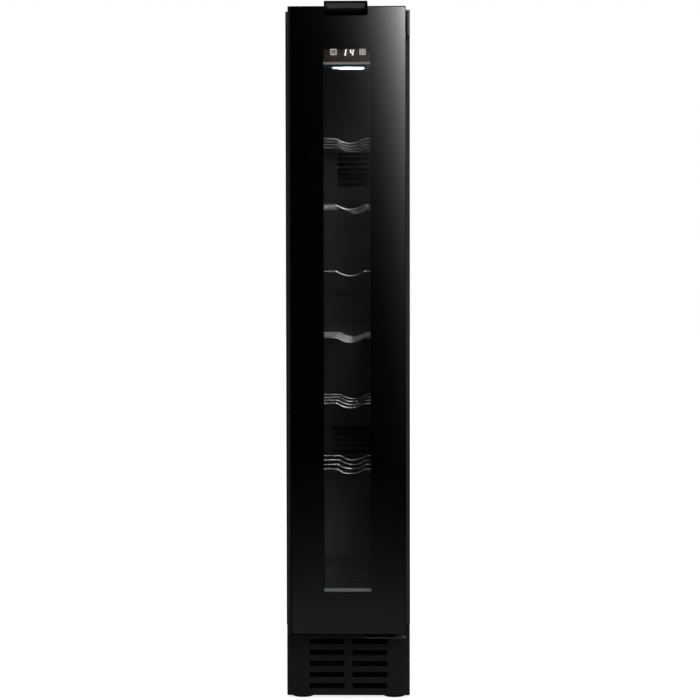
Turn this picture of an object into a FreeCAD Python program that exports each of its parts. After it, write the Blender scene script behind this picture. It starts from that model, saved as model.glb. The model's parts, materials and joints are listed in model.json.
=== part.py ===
import FreeCAD, Part
import math
import os

from FreeCAD import Vector

# Slim built-under wine cooler. Millimetres, +Z up, +X to the right seen from the front, front towards -Y.
# The origin is the centre of the footprint on the floor.

# Overall layout
CAB_HALF = 74.0            # half width of the steel cabinet
CAB_Y0, CAB_Y1 = -206.5, 272.5
CAB_Z0, CAB_Z1 = 88.0, 820.0
BACK_Y = CAB_Y1 - 1.5      # the back sheet stands in from the side panels' edges
SHEET = 0.8
FRAME_T = 1.0              # thickness of the steel front frame
BASE_HALF = 73.7
BASE_Z0 = 2.6

# Compressor bay, a step in the cabinet's rear bottom
BAY_Y0 = 107.8
BAY_Z1 = 217.0

# Cold compartment
IN_HALF = 49.0
IN_Z0, IN_Z1 = 132.0, 790.0
IN_Y1 = 238.0
STEP_Y, STEP_Z = 82.0, 243.0
LINER_T = 1.0
FLANGE_HALF, FLANGE_Z0, FLANGE_Z1 = 60.0, 121.0, 801.0
LEDGE_W, LEDGE_H = 5.0, 4.0
LEDGE_Y0, LEDGE_Y1 = -100.0, 155.0

# Racks
RACK_Z_TOP = 677.8         # centre of the top rack's side wires
RACK_PITCH = 83.3
RACK_COUNT = 6
RACK_Y = (-52.5, 14.3, 81.2, 148.0)
RACK_HALF = 46.5
SIDE_WIRE_R, CROSS_WIRE_R = 2.0, 1.5
DIP_DEPTH, DIP_R, DIP_CORNER_R = 5.8, 27.4, 5.0
GAP = 0.3                  # clearance kept between separate curved faces

# Door
DOOR_X0, DOOR_X1 = -69.3, 69.1
DOOR_Z0, DOOR_Z1 = 82.9, 821.2
GLASS_Y, GLASS_T = -252.5, 4.0
LIP_W = 2.4                # frame lip that covers the glass's left edge
CORNER_R = 2.0
PRINT_T = 0.2
WINDOW_HALF, WINDOW_Z0, WINDOW_Z1 = 27.5, 133.6, 771.5
FRAME_Y1 = -214.5
FRAME_INSET = 1.0
FRAME_Z0, FRAME_Z1 = 86.0, 816.0
POCKET_HALF, POCKET_Z0, POCKET_Z1 = 58.2, 112.8, 797.2
POCKET_Y1 = -232.0
OPEN_HALF, OPEN_Z0, OPEN_Z1 = 46.0, 125.0, 785.0
SPACER_T, SPACER_W = 12.0, 9.0
INNER_GLASS_T = 4.0
GASKET_Y1 = -207.0
HINGE_X, HINGE_Y = 60.0, -238.5
PIN_R, BUSH_R, RUN_GAP = 3.0, 5.0, 0.05
NOTCH_X, NOTCH_Z = 38.0, 806.0
ARM_Z = 807.0
PLATE_Z, PLATE_T = 77.4, 2.0
HANDLE_HALF, HANDLE_X = 25.3, -0.9
HANDLE_Y, HANDLE_T = -272.5, 4.0
HANDLE_Z0, HANDLE_Z1 = 813.0, 825.0

# Feet
FOOT_X, FOOT_Y = 55.0, (-192.5, 227.5)
FOOT_R, FOOT_H, FOOT_TAPER = 13.0, 2.3, 1.2
STUD_R, STUD_Z1 = 4.0, 62.0
BOSS_R, BOSS_Z1 = 7.0, 30.0

# Base machinery
COMP = Vector(0, 195, 0)
COMP_R, COMP_Z0, COMP_Z1 = 56.0, 24.0, 150.0
COMP_BOLT_X, COMP_BOLT_Y = 38.0, 45.0
TUBE_R = 2.5
PORT_X, PORT_Z, PORT_Y = 32.0, 95.0, 129.0
COND_FAN_C = Vector(0, -95, 44)
EVAP_FAN_C = Vector(0, 190, 650)
DRAIN_X, DRAIN_Y = -30.0, 215.0
SUCTION_XY = (32.0, 205.0)
CAPILLARY_XY = (44.0, 225.0)
CAP_R = 1.0

# Screws that hold the hinges: (x, z)
LOWER_SCREWS = ((28.0, 97.0), (42.0, 97.0), (56.0, 97.0))
UPPER_SCREWS = ((46.0, 815.0), (62.0, 815.0))
SCREW_R, SCREW_HEAD_R, SCREW_LEN = 2.0, 3.0, 14.0

NODES = {}


def box(x0, x1, y0, y1, z0, z1):
    return Part.makeBox(x1 - x0, y1 - y0, z1 - z0, Vector(x0, y0, z0))


def cyl(r, start, axis, length):
    return Part.makeCylinder(r, length, Vector(*start), Vector(*axis))


def fuse(shapes):
    result = shapes[0].multiFuse(list(shapes[1:]))
    return result.removeSplitter()


def group(shapes):
    return Part.makeCompound(list(shapes))


def ring(outer, inner, y0, y1):
    """Rectangular ring in the XZ plane; outer and inner are (x0, x1, z0, z1)."""
    a = box(outer[0], outer[1], y0, y1, outer[2], outer[3])
    b = box(inner[0], inner[1], y0 - 1, y1 + 1, inner[2], inner[3])
    return a.cut(b)


def stepped(half, z0, z1, y0, y1, step_y, step_z):
    """Block with its lower rear corner taken away for the compressor bay."""
    block = box(-half, half, y0, y1, z0, z1)
    return block.cut(box(-half - 1, half + 1, step_y, y1 + 1, z0 - 1, step_z))


def round_edges(shape, radius, chosen):
    edges = [e for e in shape.Edges if chosen(e)]
    return shape.makeFillet(radius, edges)


def upright(edge):
    a, b = edge.Vertexes[0].Point, edge.Vertexes[-1].Point
    return abs(a.x - b.x) < 1e-6 and abs(a.y - b.y) < 1e-6


def along_y(edge):
    a, b = edge.Vertexes[0].Point, edge.Vertexes[-1].Point
    return abs(a.x - b.x) < 1e-6 and abs(a.z - b.z) < 1e-6


def rounded_path(points, bend):
    """Straight runs joined by tangent arcs."""
    pts = [Vector(*p) for p in points]
    edges = []
    start = pts[0]
    for before, corner, after in zip(pts, pts[1:], pts[2:]):
        u = (before - corner).normalize()
        v = (after - corner).normalize()
        short = min(before.distanceToPoint(corner), after.distanceToPoint(corner))
        half_angle = u.getAngle(v) / 2
        setback = min(bend / math.tan(half_angle), 0.49 * short)
        radius = setback * math.tan(half_angle)
        a = corner + u * setback
        b = corner + v * setback
        middle = (u + v).normalize()
        m = corner + middle * (radius / math.sin(half_angle) - radius)
        edges.append(Part.makeLine(start, a))
        edges.append(Part.Arc(a, m, b).toShape())
        start = b
    edges.append(Part.makeLine(start, pts[-1]))
    return Part.Wire(edges)


def pipe(points, radius, bend=10.0):
    path = rounded_path(points, bend)
    first = Vector(*points[0])
    heading = Vector(*points[1]) - first
    profile = Part.Wire(Part.makeCircle(radius, first, heading))
    return path.makePipeShell([profile], True, False)


def screw_holes(radius, y0, y1):
    return [cyl(radius, (x, y0, z), (0, 1, 0), y1 - y0) for x, z in LOWER_SCREWS + UPPER_SCREWS]


def riser_holes(radius_gap):
    """Clearance for the drain and the refrigerant lines through the step."""
    z0, length = BAY_Z1 - 3, STEP_Z - BAY_Z1 + 6
    spots = (
        (DRAIN_X, DRAIN_Y, 5.0),
        (SUCTION_XY[0], SUCTION_XY[1], TUBE_R),
        (CAPILLARY_XY[0], CAPILLARY_XY[1], CAP_R),
    )
    return [cyl(r + radius_gap, (x, y, z0), (0, 0, 1), length) for x, y, r in spots]


# ---------------------------------------------------------------- cabinet

def side_panel(sign):
    x0, x1 = sorted((sign * (CAB_HALF - SHEET), sign * CAB_HALF))
    return box(x0, x1, CAB_Y0, CAB_Y1, CAB_Z0, CAB_Z1)


def inner_width():
    return CAB_HALF - SHEET


def top_panel():
    w = inner_width()
    return box(-w, w, CAB_Y0 + FRAME_T, CAB_Y1, CAB_Z1 - SHEET, CAB_Z1)


def rear_panel():
    w = inner_width()
    return box(-w, w, BACK_Y - SHEET, BACK_Y, BAY_Z1 + SHEET, CAB_Z1 - SHEET)


def bottom_panel():
    w = inner_width()
    y0, y1 = CAB_Y0 + FRAME_T, BACK_Y - SHEET
    outer = stepped(w, CAB_Z0, BAY_Z1 + SHEET, y0, y1, BAY_Y0, BAY_Z1)
    hollow = stepped(w + 1, CAB_Z0 + SHEET, BAY_Z1 + 5, y0 - 1, y1 + 1, BAY_Y0 - SHEET, BAY_Z1 + SHEET)
    return outer.cut(hollow).cut(Part.makeCompound(riser_holes(GAP)))


def front_frame():
    w = inner_width()
    shape = ring((-w, w, CAB_Z0, CAB_Z1), (-52, 52, 129, 793), CAB_Y0, CAB_Y0 + FRAME_T)
    return shape.cut(Part.makeCompound(screw_holes(SCREW_R + GAP, CAB_Y0 - 1, CAB_Y0 + 3)))


def liner_outer():
    return stepped(
        IN_HALF + LINER_T, IN_Z0 - LINER_T, IN_Z1 + LINER_T, CAB_Y0 + FRAME_T,
        IN_Y1 + LINER_T, STEP_Y + LINER_T, STEP_Z - LINER_T,
    )


def liner_flange():
    y0 = CAB_Y0 + FRAME_T
    return box(-FLANGE_HALF, FLANGE_HALF, y0, y0 + LINER_T, FLANGE_Z0, FLANGE_Z1)


def inner_liner():
    inner = stepped(IN_HALF, IN_Z0, IN_Z1, CAB_Y0, IN_Y1, STEP_Y, STEP_Z)
    shell = liner_outer().fuse(liner_flange()).cut(inner)
    ledges = []
    for i in range(RACK_COUNT):
        top = rack_z(i) - SIDE_WIRE_R - GAP
        for sign in (-1, 1):
            x0, x1 = sorted((sign * (IN_HALF - LEDGE_W), sign * (IN_HALF + LINER_T / 2)))
            ledges.append(box(x0, x1, LEDGE_Y0, LEDGE_Y1, top - LEDGE_H, top))
    shell = fuse([shell] + ledges)
    return shell.cut(Part.makeCompound(riser_holes(GAP)))


def insulation_foam():
    w = inner_width()
    block = stepped(
        w, CAB_Z0 + SHEET, CAB_Z1 - SHEET, CAB_Y0 + FRAME_T, BACK_Y - SHEET,
        BAY_Y0 - SHEET, BAY_Z1 + SHEET,
    )
    block = block.cut(liner_outer()).cut(liner_flange())
    block = block.cut(Part.makeCompound(riser_holes(GAP)))
    return block.cut(Part.makeCompound(screw_holes(SCREW_R + GAP, CAB_Y0, CAB_Y0 + SCREW_LEN)))


# ---------------------------------------------------------------- cold air

def slot_cuts(half, z0, pitch, count, height, y0, y1):
    return [box(-half, half, y0, y1, z0 + i * pitch, z0 + i * pitch + height) for i in range(count)]


def duct_cover():
    y0, wall = 187.5, 2.0
    w = IN_HALF - GAP
    z0, z1 = STEP_Z + GAP, IN_Z1 - GAP
    plate = box(-w, w, y0, y0 + wall, z0, z1)
    sides = [box(s * w - (wall if s > 0 else 0), s * w + (0 if s > 0 else wall), y0, IN_Y1 - GAP, z0, z1)
             for s in (-1, 1)]
    cuts = slot_cuts(22, EVAP_FAN_C.z - 23, 7, 7, 4, y0 - 1, y0 + wall + 1)
    cuts += slot_cuts(30, 262, 8, 5, 4.5, y0 - 1, y0 + wall + 1)
    return fuse([plate] + sides).cut(Part.makeCompound(cuts))


FAN_MOTOR_T = 5.0
HUB_START, HUB_WALL = 1.5, 2.0   # the hub's front face from the frame's, and the cap that closes its bore


def fan_frame(c, half, depth, bore):
    """Square axial fan frame. Its motor stands on four spokes at the rear, with a fixed shaft forward."""
    body = box(c.x - half, c.x + half, c.y, c.y + depth, c.z - half, c.z + half)
    body = body.cut(cyl(bore, (c.x, c.y - 1, c.z), (0, 1, 0), depth + 2))
    motor_y = c.y + depth - FAN_MOTOR_T
    shaft_y = c.y + HUB_START + HUB_WALL + 0.5
    parts = [body, cyl(10, (c.x, motor_y, c.z), (0, 1, 0), FAN_MOTOR_T)]
    parts.append(cyl(1.5, (c.x, shaft_y, c.z), (0, 1, 0), motor_y + 1 - shaft_y))
    spoke = box(c.x - bore - 1, c.x + bore + 1, c.y + depth - 3, c.y + depth, c.z - 1.5, c.z + 1.5)
    for angle in (45, 135):
        turned = spoke.copy()
        turned.rotate(c, Vector(0, 1, 0), angle)
        parts.append(turned)
    screw = 3.0 if half > 32 else 2.2
    inset = half - 5
    holes = [cyl(screw / 2, (c.x + a * inset, c.y - 1, c.z + b * inset), (0, 1, 0), depth + 2)
             for a in (-1, 1) for b in (-1, 1)]
    return fuse(parts).cut(Part.makeCompound(holes))


def impeller(c, radius, length, blades=7):
    """Hub with pitched blades that turns on the fan's fixed shaft."""
    y0 = c.y + HUB_START
    hub = cyl(9, (c.x, y0, c.z), (0, 1, 0), length)
    blade = box(c.x - 0.6, c.x + 0.6, y0 + 1, y0 + length - 1, c.z + 6, c.z + radius)
    blade.rotate(Vector(c.x, y0 + length / 2, c.z), Vector(0, 0, 1), 38)
    blade = blade.common(cyl(radius, (c.x, y0 + 0.5, c.z), (0, 1, 0), length - 1))
    parts = [hub]
    for i in range(blades):
        turned = blade.copy()
        turned.rotate(c, Vector(0, 1, 0), i * 360.0 / blades)
        parts.append(turned)
    bore = cyl(1.5 + RUN_GAP, (c.x, y0 + HUB_WALL, c.z), (0, 1, 0), length)
    return fuse(parts).cut(bore)


def evaporator():
    half, z0, pitch, rows = 42.0, 318.0, 24.0, 10
    rear, front = CAPILLARY_XY[1], SUCTION_XY[1]
    points = [(CAPILLARY_XY[0], rear, 296), (CAPILLARY_XY[0], rear, z0)]
    side = -half
    for i in range(rows):
        z = z0 + i * pitch
        points += [(side, rear, z)] + ([(side, rear, z + pitch)] if i < rows - 1 else [])
        side = -side
    side = -side
    for i in reversed(range(rows)):
        z = z0 + i * pitch
        points.append((side, front, z))
        side = -side
        if i:
            points.append((side, front, z))
    points += [(SUCTION_XY[0], front, z0), (SUCTION_XY[0], front, 296)]
    coil = pipe(points, TUBE_R)
    fins = [box(x, x + 0.5, 197, 233, 306, 546) for x in range(-30, 26, 6)]
    return fuse([coil] + fins)


def temperature_sensor():
    probe = cyl(3, (44, 172, 520), (0, 0, 1), 26)
    clip = box(43, IN_HALF - GAP, 169, 175, 530, 536)
    return fuse([probe, clip])


# ---------------------------------------------------------------- control head and lamp

PANEL_Y = -187.5
PANEL_Z0 = 762.0
PANEL_HALF = 48.5
PANEL_Z1 = 789.6


def control_box():
    y0, y1, wall = PANEL_Y + 2, -105.0, 1.5
    outer = box(-PANEL_HALF, PANEL_HALF, y0, y1, PANEL_Z0, PANEL_Z1)
    hollow = box(-PANEL_HALF + wall, PANEL_HALF - wall, y0 - 1, y1 - wall, PANEL_Z0 + wall, PANEL_Z1 - wall)
    return outer.cut(hollow)


def control_lens():
    return box(-PANEL_HALF, PANEL_HALF, PANEL_Y, PANEL_Y + 2, PANEL_Z0, PANEL_Z1)


def control_board():
    return box(-42, 42, PANEL_Y + 5, PANEL_Y + 6.6, 764, 787)


def segment(x0, x1, z0, z1, slant, foot):
    """One bar of a slanted seven-segment digit, just behind the lens."""
    y = PANEL_Y + 2.1
    pts = [(x0 + slant * (z0 - foot), z0), (x1 + slant * (z0 - foot), z0),
           (x1 + slant * (z1 - foot), z1), (x0 + slant * (z1 - foot), z1)]
    wire = Part.makePolygon([Vector(x, y, z) for x, z in pts + pts[:1]])
    return Part.Face(wire).extrude(Vector(0, 0.5, 0))


DIGIT_W, DIGIT_H, BAR, DIGIT_Z = 4.6, 7.0, 1.35, 769.8
SEGMENTS = {"1": "bc", "4": "bcfg"}


def display_digits():
    bars = []
    mid = DIGIT_Z + DIGIT_H / 2
    for x, digit in ((-7.25, "1"), (1.6, "4")):
        spans = {
            "b": (x + DIGIT_W - BAR, x + DIGIT_W, mid + 0.25, DIGIT_Z + DIGIT_H),
            "c": (x + DIGIT_W - BAR, x + DIGIT_W, DIGIT_Z, mid - 0.25),
            "f": (x, x + BAR, mid + 0.25, DIGIT_Z + DIGIT_H),
            "g": (x + BAR + 0.25, x + DIGIT_W - BAR - 0.25, mid - BAR / 2, mid + BAR / 2),
        }
        for name in SEGMENTS[digit]:
            bars.append(segment(*spans[name], 0.17, DIGIT_Z))
    return group(bars)


def key_mark(cx, inner):
    """Outlined square with a small sign in it, drawn in thin bars."""
    y0, y1 = PANEL_Y + 2.1, PANEL_Y + 2.6
    z0, z1, w = 770.7, 777.8, 0.9
    half = 3.5
    marks = [ring((cx - half, cx + half, z0, z1), (cx - half + w, cx + half - w, z0 + w, z1 - w), y0, y1)]
    cz = (z0 + z1) / 2
    for dx0, dx1, dz0, dz1 in inner:
        marks.append(box(cx + dx0, cx + dx1, y0, y1, cz + dz0, cz + dz1))
    return marks


def touch_keys():
    left = key_mark(-17.3, ((-0.35, 0.35, -0.6, 1.4), (-0.9, 0.9, -1.5, -0.6)))
    right = key_mark(17.5, ((-0.35, 0.35, -2.65, 2.65), (-2.6, 2.6, -0.35, 0.35)))
    return group([fuse(left), fuse(right)])


def panel_trim():
    return box(-PANEL_HALF, PANEL_HALF, PANEL_Y - 1.5, PANEL_Y + 2, PANEL_Z0 - 2.9, PANEL_Z0)


LAMP_Z0, LAMP_Z1 = 754.2, 757.0


def lamp_board():
    return box(-22, 22, PANEL_Y + 2.5, PANEL_Y + 15, LAMP_Z1, PANEL_Z0)


def lamp_cover():
    tube = box(-19.5, 19.5, PANEL_Y + 5, PANEL_Y + 11.5, LAMP_Z0, LAMP_Z1)
    return round_edges(tube, 1.3, along_y)


# ---------------------------------------------------------------- racks

def rack_z(i):
    return RACK_Z_TOP - i * RACK_PITCH


def cross_wire(y, z):
    """Level at its ends, with a shallow cradle in the middle that joins by small arcs."""
    reach = math.sqrt(2 * (DIP_R + DIP_CORNER_R) * DIP_DEPTH - DIP_DEPTH ** 2)
    bottom = z - DIP_DEPTH
    lean = math.asin(reach / (DIP_R + DIP_CORNER_R))
    tx = DIP_R * math.sin(lean)
    tz = bottom + DIP_R * (1 - math.cos(lean))
    mx = reach - DIP_CORNER_R * math.sin(lean / 2)
    mz = z - DIP_CORNER_R * (1 - math.cos(lean / 2))
    v = lambda x, h: Vector(x, y, h)
    edges = [
        Part.makeLine(v(-RACK_HALF, z), v(-reach, z)),
        Part.Arc(v(-reach, z), v(-mx, mz), v(-tx, tz)).toShape(),
        Part.Arc(v(-tx, tz), v(0, bottom), v(tx, tz)).toShape(),
        Part.Arc(v(tx, tz), v(mx, mz), v(reach, z)).toShape(),
        Part.makeLine(v(reach, z), v(RACK_HALF, z)),
    ]
    profile = Part.Wire(Part.makeCircle(CROSS_WIRE_R, v(-RACK_HALF, z), Vector(1, 0, 0)))
    return Part.Wire(edges).makePipeShell([profile], True, False)


def rack(i):
    z = rack_z(i)
    y0, y1 = RACK_Y[0] - 4, RACK_Y[-1] + 4
    wires = [cyl(SIDE_WIRE_R, (s * RACK_HALF, y0, z), (0, 1, 0), y1 - y0) for s in (-1, 1)]
    wires += [cross_wire(y, z) for y in RACK_Y]
    return fuse(wires)


# ---------------------------------------------------------------- base

def foot_spots():
    return [(name, sx * FOOT_X, y) for name, sx, y in (
        ("foot_front_left", -1, FOOT_Y[0]), ("foot_front_right", 1, FOOT_Y[0]),
        ("foot_rear_left", -1, FOOT_Y[1]), ("foot_rear_right", 1, FOOT_Y[1]))]


def compressor_bolt_spots():
    return [(COMP.x + a * COMP_BOLT_X, COMP.y + b * COMP_BOLT_Y) for a in (-1, 1) for b in (-1, 1)]


def base_tray():
    y0, y1 = -201.5, BACK_Y - SHEET
    floor_z = BASE_Z0 + SHEET
    parts = [box(-BASE_HALF, BASE_HALF, y0, y1, BASE_Z0, floor_z)]
    for s in (-1, 1):
        x0, x1 = sorted((s * BASE_HALF, s * (BASE_HALF - SHEET)))
        parts.append(box(x0, x1, y0, y1, BASE_Z0, CAB_Z0 - 0.1))
    for _, x, y in foot_spots():
        parts.append(cyl(BOSS_R, (x, y, BASE_Z0), (0, 0, 1), BOSS_Z1 - BASE_Z0))
    tray = fuse(parts)
    cuts = [cyl(STUD_R + RUN_GAP, (x, y, 0), (0, 0, 1), 40) for _, x, y in foot_spots()]
    cuts += [cyl(3 + GAP, (x, y, 0), (0, 0, 1), 10) for x, y in compressor_bolt_spots()]
    return tray.cut(Part.makeCompound(cuts))


def foot(x, y):
    disc = cyl(FOOT_R, (x, y, FOOT_TAPER), (0, 0, 1), FOOT_H - FOOT_TAPER)
    sole = Part.makeCone(FOOT_R - FOOT_TAPER, FOOT_R, FOOT_TAPER, Vector(x, y, 0), Vector(0, 0, 1))
    stud = cyl(STUD_R, (x, y, FOOT_H - 1), (0, 0, 1), STUD_Z1 - FOOT_H + 1)
    return fuse([disc, sole, stud])


GRILLE_Z1 = 87.5
SLOT_X0, SLOT_X1, SLOT_H, SLOT_PITCH, SLOT_Z = 5.0, 46.5, 5.9, 13.37, 67.6
SLOT_ROWS = 5


def front_grille():
    y0, y1 = CAB_Y0, CAB_Y0 + 5
    panel = box(-BASE_HALF, BASE_HALF, y0, y1, BASE_Z0, GRILLE_Z1)
    panel = round_edges(panel, 3.4, lambda e: upright(e) and abs(e.Vertexes[0].Point.y - y0) < 1e-6)
    cuts = []
    for row in range(SLOT_ROWS):
        zc = SLOT_Z - row * SLOT_PITCH
        for s in (-1, 1):
            x0, x1 = sorted((s * SLOT_X0, s * SLOT_X1))
            cuts.append(box(x0, x1, y0 - 1, y1 + 1, zc - SLOT_H / 2, zc + SLOT_H / 2))
    return panel.cut(Part.makeCompound(cuts))


def compressor():
    shell = cyl(COMP_R, (COMP.x, COMP.y, COMP_Z0), (0, 0, 1), COMP_Z1 - COMP_Z0)
    rims = [e for e in shell.Edges if abs(e.Length - 2 * math.pi * COMP_R) < 0.01]
    shell = shell.makeFillet(20, rims)
    seam = cyl(COMP_R + 2, (COMP.x, COMP.y, 86), (0, 0, 1), 4)
    plate = box(-44, 44, COMP.y - 52, COMP.y + 52, 16, 18)
    plinth = cyl(34, (COMP.x, COMP.y, 16), (0, 0, 1), 10)
    parts = [shell, seam, plate, plinth]
    for s in (-1, 1):
        parts.append(cyl(TUBE_R + 0.8, (s * PORT_X, PORT_Y, PORT_Z), (0, 1, 0), 40))
    body = fuse(parts)
    return body.cut(Part.makeCompound([cyl(5 + GAP, (x, y, 10), (0, 0, 1), 10) for x, y in compressor_bolt_spots()]))


def compressor_grommets():
    """Rubber spools that the compressor's plate sits in."""
    rubbers = []
    z0 = BASE_Z0 + SHEET
    for x, y in compressor_bolt_spots():
        parts = [cyl(8, (x, y, z0), (0, 0, 1), 16 - z0), cyl(5, (x, y, z0), (0, 0, 1), 18.5 - z0)]
        rubber = fuse(parts)
        rubbers.append(rubber.cut(cyl(3 + GAP, (x, y, 0), (0, 0, 1), 30)))
    return group(rubbers)


def compressor_bolts():
    bolts = []
    for x, y in compressor_bolt_spots():
        parts = [cyl(3, (x, y, BASE_Z0 - 0.1), (0, 0, 1), 20), cyl(6.5, (x, y, 18.8), (0, 0, 1), 1.2)]
        parts.append(cyl(5, (x, y, 20), (0, 0, 1), 4))
        bolts.append(fuse(parts))
    return group(bolts)


def relay_cover():
    """Plastic box over the compressor's terminals, on its left side."""
    block = box(-70, -52, 175, 215, 60, 105)
    gap = cyl(COMP_R + 2 + GAP, (COMP.x, COMP.y, 50), (0, 0, 1), 60)
    return block.cut(gap)


def drain_pan():
    z0, z1 = 151.0, 171.0
    outer = box(-46, 26, 152, 238, z0, z1)
    return outer.cut(box(-44.5, 24.5, 153.5, 236.5, z0 + 1.5, z1 + 1))


def drain_tube():
    outer = cyl(5, (DRAIN_X, DRAIN_Y, 160), (0, 0, 1), STEP_Z - 160)
    rim = cyl(8, (DRAIN_X, DRAIN_Y, STEP_Z), (0, 0, 1), 1.5)
    return fuse([outer, rim]).cut(cyl(3.5, (DRAIN_X, DRAIN_Y, 150), (0, 0, 1), 120))


COND_X = 64.0
COND_END_Y = -62.0


def condenser():
    """Finned serpentine: three banks of three passes, entered top left and left at the bottom right."""
    rows, banks = (70.0, 52.0, 34.0), (-130.0, -150.0, -170.0)
    points = [(-COND_X, COND_END_Y, rows[0])]
    side = -COND_X
    for b, y in enumerate(banks):
        levels = rows if b % 2 == 0 else rows[::-1]
        for z in levels:
            points += [(side, y, z), (-side, y, z)]
            side = -side
    points[-1] = (60.0, banks[-1], rows[-1])
    points += [(60.0, banks[-1], 20.0), (60.0, COND_END_Y, 20.0)]
    coil = pipe(points, TUBE_R, 8.0)
    fins = [box(x, x + 0.5, -180, -120, 24, 79) for x in range(-48, 50, 6)]
    return fuse([coil] + fins)


def filter_drier():
    y0, length = COND_END_Y, 80.0
    x, z = 60.0, 20.0
    body = cyl(8, (x, y0 + 8, z), (0, 1, 0), length - 16)
    body = body.makeFillet(3, [e for e in body.Edges if abs(e.Length - 16 * math.pi) < 0.01])
    return fuse([body, cyl(TUBE_R, (x, y0, z), (0, 1, 0), 12), cyl(2, (x, y0 + length - 12, z), (0, 1, 0), 12)])


def discharge_tube():
    points = [(-PORT_X, PORT_Y, PORT_Z), (-PORT_X, 118, PORT_Z), (-COND_X, 118, PORT_Z),
              (-COND_X, 118, 70), (-COND_X, COND_END_Y, 70)]
    return pipe(points, TUBE_R, 8.0)


def suction_tube():
    x, y = SUCTION_XY
    points = [(PORT_X, PORT_Y, PORT_Z), (PORT_X, 118, PORT_Z), (PORT_X, 118, 200), (x, y, 200), (x, y, 296)]
    return pipe(points, TUBE_R, 8.0)


def capillary_tube():
    x, y = CAPILLARY_XY
    start = COND_END_Y + 80.0
    points = [(60, start, 20), (60, 118, 20), (60, 118, 190), (60, y, 190), (x, y, 190), (x, y, 296)]
    return pipe(points, CAP_R, 6.0)


def rear_cover():
    w = BASE_HALF - SHEET - GAP
    y0, y1 = BACK_Y - 2 * SHEET, BACK_Y - SHEET
    plate = box(-w, w, y0, y1, BASE_Z0 + SHEET + GAP, BAY_Z1 - GAP)
    cuts = slot_cuts(50, 90, 12, 9, 5, y0 - 1, y1 + 1)
    cuts.append(box(INLET_X - 12, INLET_X + 12, y0 - 1, y1 + 1, INLET_Z - 9, INLET_Z + 9))
    return plate.cut(Part.makeCompound(cuts))


INLET_X, INLET_Z = 44.0, 48.0


def power_inlet():
    """Three-pin appliance inlet that faces the rear."""
    y1 = BACK_Y
    flange = box(INLET_X - 15, INLET_X + 15, y1 - SHEET, y1, INLET_Z - 12, INLET_Z + 12)
    body = box(INLET_X - 11.5, INLET_X + 11.5, y1 - 20, y1 - SHEET, INLET_Z - 8.5, INLET_Z + 8.5)
    shell = fuse([flange, body]).cut(box(INLET_X - 9, INLET_X + 9, y1 - 17, y1 + 1, INLET_Z - 6, INLET_Z + 6))
    pins = [box(INLET_X + dx - 0.8, INLET_X + dx + 0.8, y1 - 18, y1 - 4, INLET_Z + dz - 1.8, INLET_Z + dz + 1.8)
            for dx, dz in ((-5.5, -1.5), (0, 2), (5.5, -1.5))]
    return fuse([shell] + pins)


# ---------------------------------------------------------------- hinges

def top_hinge_bracket():
    flange = box(40, 68, CAB_Y0 - 2, CAB_Y0, 803, 819)
    flange = flange.cut(Part.makeCompound(screw_holes(SCREW_R + GAP, CAB_Y0 - 3, CAB_Y0 + 1)))
    arm = box(53, 64, HINGE_Y - 6, CAB_Y0 - 1, ARM_Z, ARM_Z + 3)
    pin = cyl(PIN_R, (HINGE_X, HINGE_Y, ARM_Z - 8), (0, 0, 1), 9)
    return fuse([flange, arm, pin])


def lower_hinge_bracket():
    plate = box(19, 68.5, HINGE_Y - 7, CAB_Y0, PLATE_Z, PLATE_Z + PLATE_T)
    plate = round_edges(plate, 10, lambda e: upright(e) and e.Vertexes[0].Point.y < HINGE_Y)
    flange = box(19, 66, CAB_Y0 - 2, CAB_Y0, PLATE_Z, 106)
    flange = flange.cut(Part.makeCompound(screw_holes(SCREW_R + GAP, CAB_Y0 - 3, CAB_Y0 + 1)))
    collar = cyl(6, (HINGE_X, HINGE_Y, PLATE_Z + 1), (0, 0, 1), 5.5)
    pin = cyl(PIN_R, (HINGE_X, HINGE_Y, PLATE_Z + 1), (0, 0, 1), 19)
    return fuse([plate, flange, collar, pin])


def hinge_screws():
    screws = []
    y = CAB_Y0 - 2
    for x, z in LOWER_SCREWS + UPPER_SCREWS:
        head = cyl(SCREW_HEAD_R, (x, y - 2, z), (0, 1, 0), 2)
        shank = cyl(SCREW_R, (x, y - 0.5, z), (0, 1, 0), SCREW_LEN)
        socket = cyl(1.3, (x, y - 3, z), (0, 1, 0), 2)
        screws.append(fuse([head, shank]).cut(socket))
    return group(screws)


def top_hinge_cover():
    cap = box(69.5, CAB_HALF, -222, CAB_Y0, 790, 820)
    return round_edges(cap, 2, lambda e: upright(e) and e.Vertexes[0].Point.y < CAB_Y0 - 1)


def hinge_bushes():
    lower = cyl(BUSH_R, (HINGE_X, HINGE_Y, FRAME_Z0), (0, 0, 1), 12)
    upper = cyl(BUSH_R, (HINGE_X, HINGE_Y, NOTCH_Z - 8), (0, 0, 1), 8)
    bore = cyl(PIN_R + RUN_GAP, (HINGE_X, HINGE_Y, 0), (0, 0, 1), 900)
    return group([lower.cut(bore), upper.cut(bore)])


# ---------------------------------------------------------------- door

def door_glass():
    pane = box(DOOR_X0 + LIP_W + 0.1, DOOR_X1, GLASS_Y, GLASS_Y + GLASS_T, DOOR_Z0, DOOR_Z1)
    pane = round_edges(pane, CORNER_R, lambda e: along_y(e) and e.Vertexes[0].Point.x > 0)
    front = [e for e in pane.Edges if all(abs(v.Point.y - GLASS_Y) < 1e-6 for v in e.Vertexes)]
    return pane.makeChamfer(0.6, front)


def glass_print():
    y0 = GLASS_Y + GLASS_T
    outer = (DOOR_X0 + LIP_W + 0.5, DOOR_X1 - 0.5, DOOR_Z0 + 0.5, DOOR_Z1 - 0.5)
    return ring(outer, (-WINDOW_HALF, WINDOW_HALF, WINDOW_Z0, WINDOW_Z1), y0, y0 + PRINT_T)


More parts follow.
